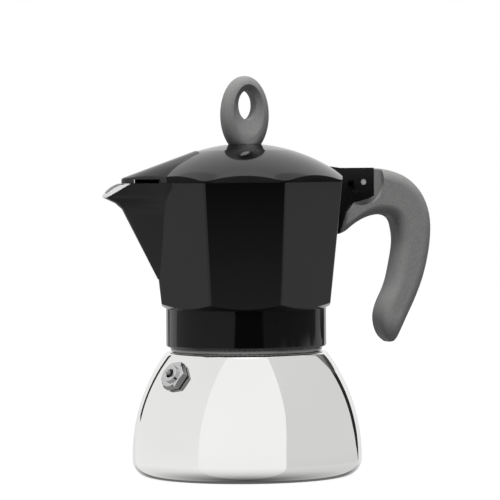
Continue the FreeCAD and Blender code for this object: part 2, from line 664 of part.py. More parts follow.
def lid_form(bottom, inset):
    """The lid's outer form, or its hollow with an inset."""
    centre = Vec(0, 0, DOME_TOP - DOME_R)
    top = DOME_TOP + PAST
    corner = LID_CORNER_R - inset * 0.8
    wire = octagon(LID_APOTHEM - inset, corner, bottom)
    dome = Part.Face(wire).extrude(Vec(0, 0, top - bottom))
    dome = dome.common(Part.makeSphere(DOME_R - inset, centre))
    run = BEAK_RIDGE_END[0] - BEAK_RIDGE_START[0]
    drop = BEAK_RIDGE_START[1] - BEAK_RIDGE_END[1]
    length = math.hypot(run, drop)
    along = Vec(-run / length, 0, -drop / length)
    above = Vec(-drop / length, 0, run / length)
    ridge = Vec(-BEAK_RIDGE_START[0], 0, BEAK_RIDGE_START[1])
    roof = Part.makeCylinder(BEAK_ROOF_R - inset, 90, ridge - above * BEAK_ROOF_R - along * 30,
                             along)
    root_x, root_y = BEAK_ROOT
    plan = nose_wire((root_x, root_y - inset * 1.05), BEAK_TIP_X - inset, BEAK_NOSE_R - inset * 0.6,
                     BEAK_BACK_X, bottom)
    beak = Part.Face(plan).extrude(Vec(0, 0, top - bottom)).common(roof)
    if not inset:
        nose = [e for e in beak.Edges
                if e.BoundBox.XMin < -BEAK_TIP_X + 1 and e.BoundBox.ZMin > bottom + 0.2]
        beak = beak.makeFillet(BEAK_ROUND, nose)
    return dome.fuse(beak)


def ellipse_face(half_w, half_h, z, y):
    """An upright ellipse in the plane of the knob's ring."""
    curve = Part.Ellipse(Vec(0, y, z + half_h), Vec(half_w, y, z), Vec(0, y, z))
    return Part.Wire(curve.toShape())


def make_knob():
    """The ring-shaped knob, its washer and its screw."""
    half = KNOB_T / 2
    wire = ellipse_face(KNOB_HALF_W, KNOB_HALF_H, KNOB_Z, -half)
    knob = Part.Face(wire).extrude(Vec(0, KNOB_T, 0))
    knob = knob.makeFillet(KNOB_ROUND, [e for e in knob.Edges if e.BoundBox.YLength < 1e-6])
    knob = knob.cut(Part.makeSphere(DOME_R + SLIP, Vec(0, 0, DOME_TOP - DOME_R)))
    for side in (-1, 1):
        dish = Part.makeLoft([ellipse_face(*KNOB_DISH, side * (half + 0.01)),
                              ellipse_face(*KNOB_HOLE, side * KNOB_WEB_T / 2)], True, True)
        knob = knob.cut(dish)
    hole = Part.Face(ellipse_face(*KNOB_HOLE, -KNOB_T)).extrude(Vec(0, 2 * KNOB_T, 0))
    end_z, tip_z = KNOB_SCREW_END
    knob = knob.cut(hole).cut(rod(PILOT_R, DOME_TOP - PAST, tip_z + OVERLAP))
    head_top = KNOB_WASHER[2]
    (face_r, face_drop), (head_r, round_drop) = KNOB_SCREW_HEAD
    face_z = head_top - face_drop
    screw = turned((0, face_z), (face_r, face_z), (head_r, head_top - round_drop), (head_r, head_top),
                   (SCREW_R, head_top), (SCREW_R, end_z), (0, tip_z))
    return {"knob": knob, "knob_washer": ring(*KNOB_WASHER), "knob_screw": screw.cut(slot(face_z))}


nodes = {
    "boiler_shell": make_boiler(),
    "filter_plate": make_filter_plate(),
    "gasket": make_gasket(),
    "collector": make_collector(),
    "coffee_column": make_column(),
    "hinge_pin": cross_rod(PIN_R, PIN_HALF, PIN_X, PIN_Z),
    "lid": make_lid(),
}
nodes.update(make_valve())
nodes.update(make_funnel())
nodes.update(make_handle())
nodes.update(make_knob())

os.makedirs("parts", exist_ok=True)
for name, shape in nodes.items():
    if len(shape.Solids) == 1:
        shape = shape.Solids[0]
    shape.exportStep("parts/" + name + ".step")
    box = shape.BoundBox
    print(name, "solids", len(shape.Solids), "valid", shape.isValid(), "mm3", round(shape.Volume),
          "x %.1f %.1f y %.1f %.1f z %.1f %.1f" % (box.XMin, box.XMax, box.YMin, box.YMax,
                                                   box.ZMin, box.ZMax))
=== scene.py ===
"""Looks for the moka pot: polished steel boiler, black enamelled collector and lid, grey plastic handle."""
import math

import bmesh
import bpy
import numpy as np
from mathutils import Matrix, Vector


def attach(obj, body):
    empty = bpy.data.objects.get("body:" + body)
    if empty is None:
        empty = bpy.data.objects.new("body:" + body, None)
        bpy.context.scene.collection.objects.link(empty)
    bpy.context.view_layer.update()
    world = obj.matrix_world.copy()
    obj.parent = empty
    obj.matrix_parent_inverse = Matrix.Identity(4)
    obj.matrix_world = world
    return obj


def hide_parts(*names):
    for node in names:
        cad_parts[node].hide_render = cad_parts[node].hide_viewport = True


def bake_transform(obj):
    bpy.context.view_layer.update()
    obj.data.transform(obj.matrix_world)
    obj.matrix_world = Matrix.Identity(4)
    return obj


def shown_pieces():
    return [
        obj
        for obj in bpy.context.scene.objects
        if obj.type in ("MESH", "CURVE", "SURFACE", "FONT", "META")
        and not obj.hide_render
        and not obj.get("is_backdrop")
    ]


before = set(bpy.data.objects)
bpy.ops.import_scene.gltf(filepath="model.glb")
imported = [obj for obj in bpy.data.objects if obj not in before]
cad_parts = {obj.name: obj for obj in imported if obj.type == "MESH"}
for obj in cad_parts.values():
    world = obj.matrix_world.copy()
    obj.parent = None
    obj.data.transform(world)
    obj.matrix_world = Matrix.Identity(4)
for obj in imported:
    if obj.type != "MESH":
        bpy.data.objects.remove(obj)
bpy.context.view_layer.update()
MM = 0.001

# The photograph's viewpoint: where the camera stands round the pot, and the middle of the picture
CAMERA_BEARING = math.radians(-22.5)
CAMERA_DISTANCE = 1540 * MM
CAMERA_HEIGHT = 144 * MM
PICTURE_MIDDLE = (2.0 * MM, 102.0 * MM)
CAMERA_ROLL = math.radians(-0.45)
CAMERA_LENS = 245.0
CAMERA_SENSOR = 36.0
CAMERA_SEES = 50
TO_CAMERA = Vector((math.sin(CAMERA_BEARING), -math.cos(CAMERA_BEARING), 0))
TO_RIGHT = Vector((math.cos(CAMERA_BEARING), math.sin(CAMERA_BEARING), 0))

# Studio: strengths of the floor's own light, of the room in reflections and of the soft light all round
FLOOR_GLOW = 0.72
ROOM = 0.02
AROUND = 0.42
# The floor's and the panels' sizes in metres, and the key light
FLOOR_R = 2.2
FLOOR_SIDES = 96
KEY_ENERGY = 8.2
KEY_ANGLE = math.radians(36)
KEY_BEARING = -7
KEY_RISE = 72
PANEL_COLUMNS = 36
PANEL_REACH = 2.5
FOOT_REACH = 2.8

# The panels' rises above the horizon, and the bearings of their edges there, in degrees right of the camera
PANEL_FOOT = 3.0
GAP_TOP = 22
GAP_CLOSED = 25
PANEL_TOP = 68
ZENITH = 89.5
NADIR = -89
LEFT_SEAM = {PANEL_FOOT: -49, GAP_TOP: -48.1, GAP_CLOSED: -48, PANEL_TOP: -45}
RIGHT_SEAM = {PANEL_FOOT: 39, GAP_TOP: 42.5, GAP_CLOSED: 43, PANEL_TOP: 51}
LEFT_END = {PANEL_FOOT: -144.5, GAP_TOP: -144.5, GAP_CLOSED: -150.5, PANEL_TOP: -150.5}
RIGHT_END = {PANEL_FOOT: 138.5, GAP_TOP: 138.5, GAP_CLOSED: 148.5, PANEL_TOP: 148.5}
BACK_LEFT = RIGHT_END[PANEL_TOP]
BACK_RIGHT = LEFT_END[PANEL_TOP] + 360
# Bearings between which the panels below light the front facet, the sides and the back
FRONT_FACET = (-16, 24)
SIDE_FACETS = 118
RIGHT_EDGE = 141
BACK_FACET = 151

# Boiler, in millimetres, as in the solids apart from the round bead
BASE_FLAT_R = 44.5
BASE_CORNER_R = 7.5
BOILER_R = 52.0
BELL_Z = 9.0
BELL_ARC_R = 79.0
SHOULDER_Z = 56.3
SHOULDER_ROUND = 2.7
NECK_RING_R = 34.4
NECK_RING_TOP = 57.6
NECK_RING_SEAT = 0.2
NECK_R = 32.8
BEAD_R = 1.3
BEAD_START = -78
BEAD_RISE = 1.4
NECK_BEAD_Z = (56.32, 58.95)
NECK_BORE_R = 30.3
NECK_BORE_FOOT = 57.5
NECK_TOP = 70.0
NECK_CHAMFER = 0.5
BOILER_WALL = 1.6
BOILER_FLOOR = 3.0
INNER_BELL_TOP = 54.7
THREAD_LEAD = 3.0
THREAD_FOOT = 60.8
THREAD_TURNS = 2.4
THREAD_STEPS = 72
THREAD_MIDDLE = 0.4
THREAD_HEIGHT = 1.2
THREAD_WIDTH = 1.6
# The lathe's play keeps the bell inside the solids' box
LATHE_PLAY = 0.035
LATHE_SEGMENTS = 384
VALVE_ANGLE = math.radians(200.5)
VALVE_Z = 46.3
VALVE_HOLE_R = 5.05
VALVE_DRILL = 14
DRILL_SIDES = 48
# Faces further from the valve's axis than this are the hexagon's, not the boss's
HEX_INSIDE_R = 5.2

# Collector, in millimetres: where its bare inner faces lie
COLLAR_R = 36.3
COLLAR_WALL = 1.5
COLLAR_FOOT_Z = 59
UNDERSIDE_Z = 75.8
CHAMBER_FLOOR = 2.9
CHAMBER_MIDDLE_Z = 100
RIM_Z = 132.7
RIM_PLAY = 0.05
RIM_BAND_Z = (131.5, 132.75)
LUG_X = 47.2
SPOUT_X = -40
SPOUT_TIP_X = -57
OPEN_LIP_X = -57.5
# The bright lip: how far forward and how high it starts, its lower line's fall per millimetre, and its top
LIP_START = (58.0, 132.5)
LIP_DROP = 0.62
LIP_TOP = 0.3

# Lid, in millimetres: its edge, and how far it comes down to close the gap that its solid leaves over the rim
LID_FOOT_Z = 132.8
LID_FOOT_PLAY = 0.02
LID_SETTLES = 0.08
LID_INSIDE = 0.6
LID_EARS_X = 49

# Hinge pin, in millimetres
PIN_X = 54.9
PIN_Z = 132.3
PIN_R = 1.4
PIN_HALF = 8.7
KNURL_RIDGES = 26
KNURL_DEPTH = 0.12
KNURL_R = 0.115
KNURL_SIDES = 8
PIN_SIDES = 64

# How much of a face's normal points up, down, inwards or along the valve before it counts as doing so
FACES_UP = 0.5
LIP_FACES_UP = 0.4
RIM_FACES_UP = 0.95
LID_FACES_DOWN = -0.35
CHAMBER_FACES_IN = -0.2
COLLAR_FACES_IN = -0.05
SPOUT_FACES_BACK = 0.35
HEX_FACES_OUT = 0.2
OFF_MIDDLE = 0.05
NEARLY_NONE = 1e-6

# In metres: the circle that the lathe follows, and how near to each other two points of a mesh become one
SPINDLE_R = 0.00001
SEAM_MERGE = 0.000012
SOLID_MERGE = 0.000002

# Shading of flats and rounds: neighbours within this angle are one flat, whose normal outweighs the rounds'
FLAT_ANGLE = math.radians(0.3)
FLAT_LEAD = 1e4
LEAST_WEIGHT = 1e-9
FLAT_AREA = 60.0
HEX_FLAT_AREA = 6.0
TINY = 1e-12


class Field:
    """One output socket of a shader, with the sums that finishes are written in."""

    def __init__(self, shading, socket):
        self.shading = shading
        self.socket = socket

    def worked(self, operation, first, second):
        return self.shading.node("ShaderNodeMath", {"operation": operation}, {0: first, 1: second})

    def __add__(self, other):
        return self.worked("ADD", self, other)

    def __radd__(self, other):
        return self.worked("ADD", other, self)

    def __sub__(self, other):
        return self.worked("SUBTRACT", self, other)

    def __rsub__(self, other):
        return self.worked("SUBTRACT", other, self)

    def __mul__(self, other):
        return self.worked("MULTIPLY", self, other)

    def __rmul__(self, other):
        return self.worked("MULTIPLY", other, self)

    def __truediv__(self, other):
        return self.worked("DIVIDE", self, other)

    def __rtruediv__(self, other):
        return self.worked("DIVIDE", other, self)


class Shading:
    """A shader's node tree."""

    def __init__(self, tree):
        self.tree = tree

    def node(self, kind, settings=None, sockets=None, output=0):
        """Adds a node: its settings first, then its sockets' values or links."""
        made = self.tree.nodes.new(kind)
        for key, value in (settings or {}).items():
            if key == "stops":
                fill_ramp(made.color_ramp, value)
            else:
                setattr(made, key, value)
        for key, value in (sockets or {}).items():
            self.feed(made.inputs[key], value)
        return Field(self, made.outputs[output])

    def feed(self, socket, value):
        if isinstance(value, Field):
            self.tree.links.new(value.socket, socket)
        else:
            socket.default_value = value


class Finish(Shading):
    """A material whose surface is worked out from the piece's own coordinates."""

    def __init__(self, name):
        self.material = bpy.data.materials.new(name)
        self.material.use_nodes = True
        super().__init__(self.material.node_tree)
        self.surface = self.tree.nodes["Principled BSDF"]

    def place(self):
        """Metres on the piece, from the pot's own origin."""
        return self.node("ShaderNodeTexCoord", output=3)

    def stretched(self, scale):
        return self.node("ShaderNodeMapping", {}, {"Vector": self.place(), "Scale": scale})

    def grain(self, scale, detail=2.0, vector=None, rough=0.5):
        """Cloudy noise from 0 to 1; scale is in grains per metre."""
        return self.node("ShaderNodeTexNoise", {}, {
            "Vector": vector or self.place(), "Scale": scale, "Detail": detail, "Roughness": rough})

    def axis(self, number):
        """One coordinate of the place, in metres."""
        return self.node("ShaderNodeSeparateXYZ", {}, {0: self.place()}, output=number)

    def above(self, value, limit):
        """1 where a value is over a limit, 0 elsewhere."""
        return self.node("ShaderNodeMath", {"operation": "GREATER_THAN"}, {0: value, 1: limit})

    def between_heights(self, heights):
        """1 between two heights in millimetres, 0 elsewhere."""
        low, high = (h * MM for h in heights)
        z = self.axis(2)
        return self.above(z, low) * self.above(high, z)

    def ramp(self, field, stops):
        return self.node("ShaderNodeValToRGB", {"stops": stops}, {"Fac": field})

    def mixed(self, amount, first, second):
        """Between two colours, by an amount from 0 to 1."""
        return self.node("ShaderNodeMix", {"data_type": "RGBA"}, {0: amount, 6: first, 7: second}, output=2)

    def bump(self, height, strength, depth):
        return self.node("ShaderNodeBump", {}, {"Height": height, "Strength": strength, "Distance": depth})

    def set(self, **sockets):
        for key, value in sockets.items():
            self.feed(self.surface.inputs[key.replace("_", " ")], value)
        return self.material


def fill_ramp(color_ramp, stops):
    while len(color_ramp.elements) < len(stops):
        color_ramp.elements.new(0.5)
    for element, (position, shade) in zip(color_ramp.elements, stops):
        element.position = position
        element.color = shade


def grey(level, tint=1.0):
    """A neutral shade, warmer with a tint under 1."""
    return level, level, level * tint, 1


def polished_steel():
    f = Finish("polished_steel")
    spin_marks = f.grain(70, detail=5, vector=f.stretched((1, 1, 26)), rough=0.6)
    clouds = f.grain(22)
    bead = f.between_heights(NECK_BEAD_Z)
    mirror = f.mixed(clouds, grey(0.90, 0.99), grey(0.945, 0.985))
    low, high = NECK_BEAD_Z
    up_bead = (f.axis(2) * (1 / MM) - low) / (high - low)
    # The neck bead is painted light by height: a lighter foot, painted shade through its middle and a painted
    # highlight along its top.
    bead_painted_light = f.ramp(up_bead, [(0.0, grey(0.60)), (0.45, grey(0.14)), (0.76, grey(0.10)), (0.90, grey(0.95))])
    shade = f.mixed(bead, mirror, bead_painted_light)
    return f.set(Base_Color=shade, Metallic=1.0, Roughness=0.02 + spin_marks * 0.025 + bead * 0.2,
                 Normal=f.bump(spin_marks, strength=0.04, depth=0.00002))


def lip_painted_bright(f):
    """1 on the spout's bare metal lip, painted near-white as a painted reflection of bright surroundings:
    what stands above a straight line from its start to its tip.
    """
    forward = f.axis(0) * (-1 / MM) - LIP_START[0]
    height = f.axis(2) * (1 / MM) - LIP_START[1]
    return f.above(height + forward * LIP_DROP, 0.0) * f.above(forward, 0.0) * f.above(LIP_TOP, height)


def black_enamel():
    f = Finish("black_enamel")
    peel = f.grain(900)
    haze = f.grain(60, detail=3)
    dust = f.ramp(f.grain(2600, detail=1), [(0.70, grey(0)), (0.78, grey(1))])
    shade = f.mixed(dust * 0.25, grey(0.0012), grey(0.006))
    # The spout's bare metal lip is painted near-white, a painted reflection of the bright surroundings its
    # metal shows.
    bare = lip_painted_bright(f)
    return f.set(Base_Color=f.mixed(bare, shade, grey(0.92)), Metallic=bare * 0.15,
                 Roughness=0.055 + haze * 0.05 + bare * 0.25,
                 Normal=f.bump(peel, strength=0.035, depth=0.00004))


def dull_enamel():
    """The collector's ground rim, which shines less than the rest."""
    f = Finish("dull_enamel")
    sand = f.grain(1500)
    return f.set(Base_Color=f.mixed(sand, grey(0.001), grey(0.003)), Roughness=0.6 + sand * 0.2,
                 Specular_IOR_Level=0.02)


def grey_plastic():
    f = Finish("grey_plastic")
    speckle = f.grain(3000, rough=0.6)
    fleck = f.node("ShaderNodeTexVoronoi", {}, {"Vector": f.place(), "Scale": 2200.0})
    tone = f.mixed(f.ramp(speckle, [(0.3, grey(0)), (0.7, grey(1))]), grey(0.085, 0.99), grey(0.165, 0.99))
    pale = f.ramp(fleck, [(0.10, grey(1)), (0.24, grey(0))])
    shade = f.mixed(pale * 0.15, tone, grey(0.36))
    return f.set(Base_Color=shade, Roughness=0.46 + speckle * 0.2,
                 Normal=f.bump(speckle, strength=0.25, depth=0.00008))


def bare_aluminium():
    f = Finish("bare_aluminium")
    swirl = f.grain(120, detail=4, vector=f.stretched((1, 1, 9)))
    sand = f.grain(1800)
    lip = f.above(OPEN_LIP_X * MM, f.axis(0))
    # A band of the bare inner wall just under the rim is painted near-black: painted shade that keeps the
    # vent gap dark.
    rim_band_painted_dark = f.between_heights(RIM_BAND_Z) * (1 - lip)
    # The lip's faces are a darker, less metallic copy of the same aluminium: painted shade.
    metal = f.mixed(lip, f.mixed(swirl, grey(0.80), grey(0.92)), grey(0.40))
    shade = f.mixed(rim_band_painted_dark, metal, grey(0.003))
    return f.set(Base_Color=shade, Metallic=(1 - rim_band_painted_dark) * (1 - lip * 0.6),
                 Roughness=0.24 + swirl * 0.12 + sand * 0.06 - rim_band_painted_dark * 0.16,
                 Normal=f.bump(sand, strength=0.12, depth=0.00005))


def plain_steel(name, low, high, level):
    """Streaked metal of one grey level, its roughness between low and high."""
    f = Finish(name)
    streaks = f.grain(400, detail=3, vector=f.stretched((1, 1, 5)))
    shade = f.mixed(streaks, grey(level * 0.88), grey(level))
    return f.set(Base_Color=shade, Metallic=1.0, Roughness=low + streaks * (high - low),
                 Normal=f.bump(streaks, strength=0.06, depth=0.00003))


def silicone():
    f = Finish("silicone")
    haze = f.grain(300, detail=3)
    shade = f.mixed(haze, (0.70, 0.69, 0.66, 1), (0.80, 0.79, 0.77, 1))
    return f.set(Base_Color=shade, Roughness=0.42 + haze * 0.18,
                 Normal=f.bump(haze, strength=0.08, depth=0.00008))


STEEL = polished_steel()
ENAMEL = black_enamel()
DULL_ENAMEL = dull_enamel()
PLASTIC = grey_plastic()
ALUMINIUM = bare_aluminium()
PLATED = plain_steel("plated_brass", low=0.05, high=0.12, level=0.66)
# The hexagon's flats: the same plated metal, painted darker as a painted reflection of the dark surroundings.
HEX_FLATS_PAINTED_DARK = plain_steel("flats_painted_dark_reflection", low=0.16, high=0.30, level=0.20)
PIN_STEEL = plain_steel("plain_steel", low=0.22, high=0.38, level=0.55)
SILICONE = silicone()


class Tree:
    """A Geometry Nodes tree with named inputs."""

    def __init__(self, name):
        self.tree = bpy.data.node_groups.new(name, "GeometryNodeTree")
        self.inputs = self.tree.nodes.new("NodeGroupInput")
        self.tree.interface.new_socket("Geometry", in_out="INPUT", socket_type="NodeSocketGeometry")
        self.tree.interface.new_socket("Geometry", in_out="OUTPUT", socket_type="NodeSocketGeometry")
        self.sizes = {}

    def size(self, name, kind, value):
        """A named input and its value."""
        socket = self.tree.interface.new_socket(name, in_out="INPUT", socket_type="NodeSocket" + kind)
        self.sizes[socket.identifier] = value
        return self.inputs.outputs[name]

    def node(self, kind, settings=None, sockets=None, output=0):
        made = self.tree.nodes.new(kind)
        for key, value in (settings or {}).items():
            setattr(made, key, value)
        for key, value in (sockets or {}).items():
            self.feed(made.inputs[key], value)
        return made.outputs[output]

    def feed(self, socket, value):
        """Gives a socket a value, a link or a list of links."""
        for source in value if isinstance(value, list) else [value]:
            if isinstance(source, bpy.types.NodeSocket):
                self.tree.links.new(source, socket)
            else:
                socket.default_value = source

    def close(self, geometry):
        """Ends the tree: real geometry with one finish."""
        finish = self.size("Finish", "Material", None)
        solid = self.node("GeometryNodeRealizeInstances", {}, {0: geometry})
        painted = self.node("GeometryNodeSetMaterial", {}, {"Geometry": solid, "Material": finish})
        out = self.tree.nodes.new("NodeGroupOutput")
        self.tree.links.new(painted, out.inputs[0])

    def grow(self, name, start, finish):
        """Runs the tree on a start mesh and gives the result as a plain mesh object."""
        piece = bpy.data.objects.new(name, start)
        bpy.context.scene.collection.objects.link(piece)
        modifier = piece.modifiers.new("grow", "NODES")
        modifier.node_group = self.tree
        for identifier, value in self.sizes.items():
            modifier[identifier] = finish if value is None else value
        return settled(piece)


def settled(piece):
    """The piece with its modifiers worked into a plain mesh."""
    depsgraph = bpy.context.evaluated_depsgraph_get()
    mesh = bpy.data.meshes.new_from_object(piece.evaluated_get(depsgraph))
    piece.modifiers.clear()
    piece.data = mesh
    mesh.name = piece.name
    return piece


def wire_mesh(name, points):
    """A chain of points in millimetres as a mesh of edges."""
    mesh = bpy.data.meshes.new(name)
    mesh.from_pydata([Vector(p) * MM for p in points], [(i, i + 1) for i in range(len(points) - 1)], [])
    return mesh


def arc(centre, radius, start, end, steps):
    """Points of an arc in the profile's plane, angles in degrees from the horizontal."""
    points = []
    for i in range(steps + 1):
        angle = math.radians(start + (end - start) * i / steps)
        points.append((centre[0] + radius * math.cos(angle), centre[1] + radius * math.sin(angle)))
    return points


def run(start, end, steps):
    """Evenly spaced points after start up to end."""
    return [tuple(a + (b - a) * i / steps for a, b in zip(start, end)) for i in range(1, steps + 1)]


def lathe_tree():
    """Turns a profile of radius and height about the pot's axis."""
    tree = Tree("lathe")
    segments = tree.size("Segments", "Int", LATHE_SEGMENTS)
    spindle = tree.size("Spindle radius", "Float", SPINDLE_R)
    path = tree.node("GeometryNodeCurvePrimitiveCircle", {}, {"Resolution": segments, "Radius": spindle})
    profile = tree.node("GeometryNodeMeshToCurve", {}, {"Mesh": tree.inputs.outputs[0]})
    skin = tree.node("GeometryNodeCurveToMesh", {}, {"Curve": path, "Profile Curve": profile})
    closed = tree.node("GeometryNodeMergeByDistance", {}, {"Geometry": skin, "Distance": SEAM_MERGE})
    tree.close(closed)
    return tree


def thread_tree():
    """Sweeps a thread's cross-section up a helix."""
    tree = Tree("thread")
    height = tree.size("Ridge height", "Float", THREAD_HEIGHT * MM)
    width = tree.size("Ridge width", "Float", THREAD_WIDTH * MM)
    path = tree.node("GeometryNodeMeshToCurve", {}, {"Mesh": tree.inputs.outputs[0]})
    level_path = tree.node("GeometryNodeSetCurveNormal", {"mode": "Z_UP"}, {"Curve": path})
    section = tree.node("GeometryNodeCurvePrimitiveQuadrilateral", {"mode": "TRAPEZOID"}, {
        "Height": width, "Bottom Width": height, "Top Width": height, "Offset": 0.0})
    ridge = tree.node("GeometryNodeCurveToMesh", {}, {
        "Curve": level_path, "Profile Curve": section, "Fill Caps": True})
    tree.close(ridge)
    return tree


def boiler_profile():
    """The bell from the middle of its base, up the outside and down the inside."""
    bell = (BOILER_R - BELL_ARC_R, BELL_Z)
    fillet_z = SHOULDER_Z - SHOULDER_ROUND
    lean = math.degrees(math.asin((fillet_z - BELL_Z) / (BELL_ARC_R - SHOULDER_ROUND)))
    fillet_r = bell[0] + (BELL_ARC_R - SHOULDER_ROUND) * math.cos(math.radians(lean))
    inner_r = BELL_ARC_R - BOILER_WALL
    inner_lean = math.degrees(math.asin((INNER_BELL_TOP - BELL_Z) / inner_r))
    inner_corner = BASE_CORNER_R - BOILER_WALL
    points = [(0.0, 0.0)] + run((0.0, 0.0), (BASE_FLAT_R, 0.0), steps=8)
    points += arc((BASE_FLAT_R, BASE_CORNER_R), BASE_CORNER_R, -90, 0, steps=18)[1:]
    points += arc(bell, BELL_ARC_R, 0, lean, steps=56)
    points += arc((fillet_r, fillet_z), SHOULDER_ROUND, lean, 90, steps=10)[1:]
    points += [(NECK_RING_R + NECK_RING_SEAT, SHOULDER_Z)]
    points += arc((NECK_RING_R - BEAD_R, SHOULDER_Z + BEAD_R), BEAD_R, BEAD_START, 90, steps=16)
    points += [(NECK_R, NECK_RING_TOP + BEAD_RISE), (NECK_R, NECK_TOP - NECK_CHAMFER),
               (NECK_R - NECK_CHAMFER, NECK_TOP), (NECK_BORE_R, NECK_TOP), (NECK_BORE_R, NECK_BORE_FOOT)]
    points += arc(bell, inner_r, inner_lean, 0, steps=24)
    points += arc((BASE_FLAT_R, BOILER_FLOOR + inner_corner), inner_corner, 0, -90, steps=8)
    points += run((BASE_FLAT_R, BOILER_FLOOR), (0.0, BOILER_FLOOR), steps=8)
    return points


def valve_axis():
    """A point of the boiler's wall and the way out of it, along the safety valve."""
    rise = math.asin((VALVE_Z - BELL_Z) / BELL_ARC_R)
    wall_r = BOILER_R - BELL_ARC_R + BELL_ARC_R * math.cos(rise)
    wall = Vector((wall_r * math.cos(VALVE_ANGLE), wall_r * math.sin(VALVE_ANGLE), VALVE_Z)) * MM
    outward = Vector((math.cos(rise) * math.cos(VALVE_ANGLE), math.cos(rise) * math.sin(VALVE_ANGLE),
                      math.sin(rise)))
    return wall, outward


def bored(piece, middle, along, radius, length):
    """Bores a round hole through a piece."""
    drill = bpy.data.meshes.new("drill")
    form = bmesh.new()
    turn = Matrix.Translation(middle) @ along.to_track_quat("Z", "Y").to_matrix().to_4x4()
    bmesh.ops.create_cone(form, cap_ends=True, segments=DRILL_SIDES, radius1=radius, radius2=radius,
                          depth=length, matrix=turn)
    form.to_mesh(drill)
    form.free()
    drill_object = bpy.data.objects.new("drill", drill)
    bpy.context.scene.collection.objects.link(drill_object)
    modifier = piece.modifiers.new("bore", "BOOLEAN")
    modifier.operation = "DIFFERENCE"
    modifier.object = drill_object
    settled(piece)
    bpy.data.objects.remove(drill_object)


def smooth_shaded(mesh, sharp_angle):
    """Smooth faces with crisp edges where the surface turns by more than an angle."""
    mesh.shade_smooth()
    mesh.set_sharp_from_angle(angle=math.radians(sharp_angle))


def outward_faces(mesh):
    form = bmesh.new()
    form.from_mesh(mesh)
    bmesh.ops.recalc_face_normals(form, faces=form.faces)
    form.to_mesh(mesh)
    form.free()


def joined(name, pieces):
    """Several objects as one, with their finishes kept."""
    bpy.ops.object.select_all(action="DESELECT")
    for piece in pieces:
        piece.select_set(True)
    bpy.context.view_layer.objects.active = pieces[0]
    bpy.ops.object.join()
    pieces[0].name = name
    return pieces[0]


def stand_for(piece, body, slot_name, *nodes):
    """Puts a finished piece in the place of its solids."""
    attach(piece, body)
    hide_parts(*nodes)
    return piece


def make_boiler():
    profile = wire_mesh("boiler_profile", [(max(r - LATHE_PLAY, 0), -z, 0) for r, z in boiler_profile()])
    bell = lathe_tree().grow("boiler_bell", profile, STEEL)
    outward_faces(bell.data)
    wall, outward = valve_axis()
    bored(bell, wall, outward, VALVE_HOLE_R * MM, VALVE_DRILL * MM)
    middle_r = NECK_R + THREAD_MIDDLE
    helix = []
    for i in range(int(THREAD_TURNS * THREAD_STEPS) + 1):
        angle = 2 * math.pi * i / THREAD_STEPS
        height = THREAD_FOOT + THREAD_LEAD * i / THREAD_STEPS
        helix.append((middle_r * math.cos(angle), middle_r * math.sin(angle), height))
    ridge = thread_tree().grow("neck_thread", wire_mesh("thread_path", helix), STEEL)
    outward_faces(ridge.data)
    for part in (bell, ridge):
        smooth_shaded(part.data, sharp_angle=34)
    return stand_for(joined("boiler_bell", [bell, ridge]), "boiler", "mirror_steel", "boiler_shell")


def coplanar_patches(normals, corners):
    """A patch number for every triangle; neighbours in one plane share theirs."""
    patch = list(range(len(normals)))

    def root(i):
        while patch[i] != i:
            patch[i] = patch[patch[i]]
            i = patch[i]
        return i

    sides = np.sort(np.concatenate([corners[:, [0, 1]], corners[:, [1, 2]], corners[:, [2, 0]]]), axis=1)
    owner = np.tile(np.arange(len(corners)), 3)
    order = np.lexsort((sides[:, 1], sides[:, 0]))
    sides = sides[order]
    owner = owner[order]
    shared = np.nonzero((sides[1:] == sides[:-1]).all(axis=1))[0]
    level = (normals[owner[shared]] * normals[owner[shared + 1]]).sum(axis=1) > math.cos(FLAT_ANGLE)
    for k in shared[level]:
        patch[root(int(owner[k]))] = root(int(owner[k + 1]))
    return np.array([root(i) for i in range(len(patch))])


def shade_flats_and_rounds(mesh, sharp_angle, flat_area):
    """Corner normals that keep every large flat truly flat and turn smoothly over the rounds between."""
    count = len(mesh.polygons)
    corners = np.zeros(count * 3, np.int64)
    mesh.loops.foreach_get("vertex_index", corners)
    points = np.zeros(len(mesh.vertices) * 3)
    mesh.vertices.foreach_get("co", points)
    points = points.reshape(-1, 3) / MM
    triangles = corners.reshape(-1, 3)
    a, b, c = (points[triangles[:, i]] for i in range(3))
    cross = np.cross(b - a, c - a)
    size = np.linalg.norm(cross, axis=1)
    normals = cross / np.maximum(size, TINY)[:, None]
    patch = coplanar_patches(normals, triangles)
    patch_area = np.bincount(patch, size / 2, count)
    patch_normal = np.stack([np.bincount(patch, cross[:, i], count) for i in range(3)], axis=1)
    patch_normal /= np.maximum(np.linalg.norm(patch_normal, axis=1), TINY)[:, None]
    flat = patch_area[patch] >= flat_area
    lead = np.where(flat[:, None], patch_normal[patch], normals)
    weight = np.where(flat, patch_area[patch] * FLAT_LEAD, np.sqrt(size) + LEAST_WEIGHT)

    loop_face = np.repeat(np.arange(count), 3)
    order = np.argsort(corners, kind="stable")
    starts = np.searchsorted(corners[order], np.arange(len(points)))
    degree = np.bincount(corners, minlength=len(points))
    total = np.zeros((count * 3, 3))
    for d in np.unique(degree[degree > 0]):
        rows = starts[degree == d]
        loops = order[rows[:, None] + np.arange(d)]
        faces = loop_face[loops]
        near = np.einsum("vik,vjk->vij", lead[faces], lead[faces]) > math.cos(math.radians(sharp_angle))
        total[loops] = np.einsum("vij,vj,vjk->vik", near, weight[faces], lead[faces])
    total /= np.maximum(np.linalg.norm(total, axis=1), TINY)[:, None]
    mesh.shade_smooth()
    mesh.normals_split_custom_set(total.tolist())


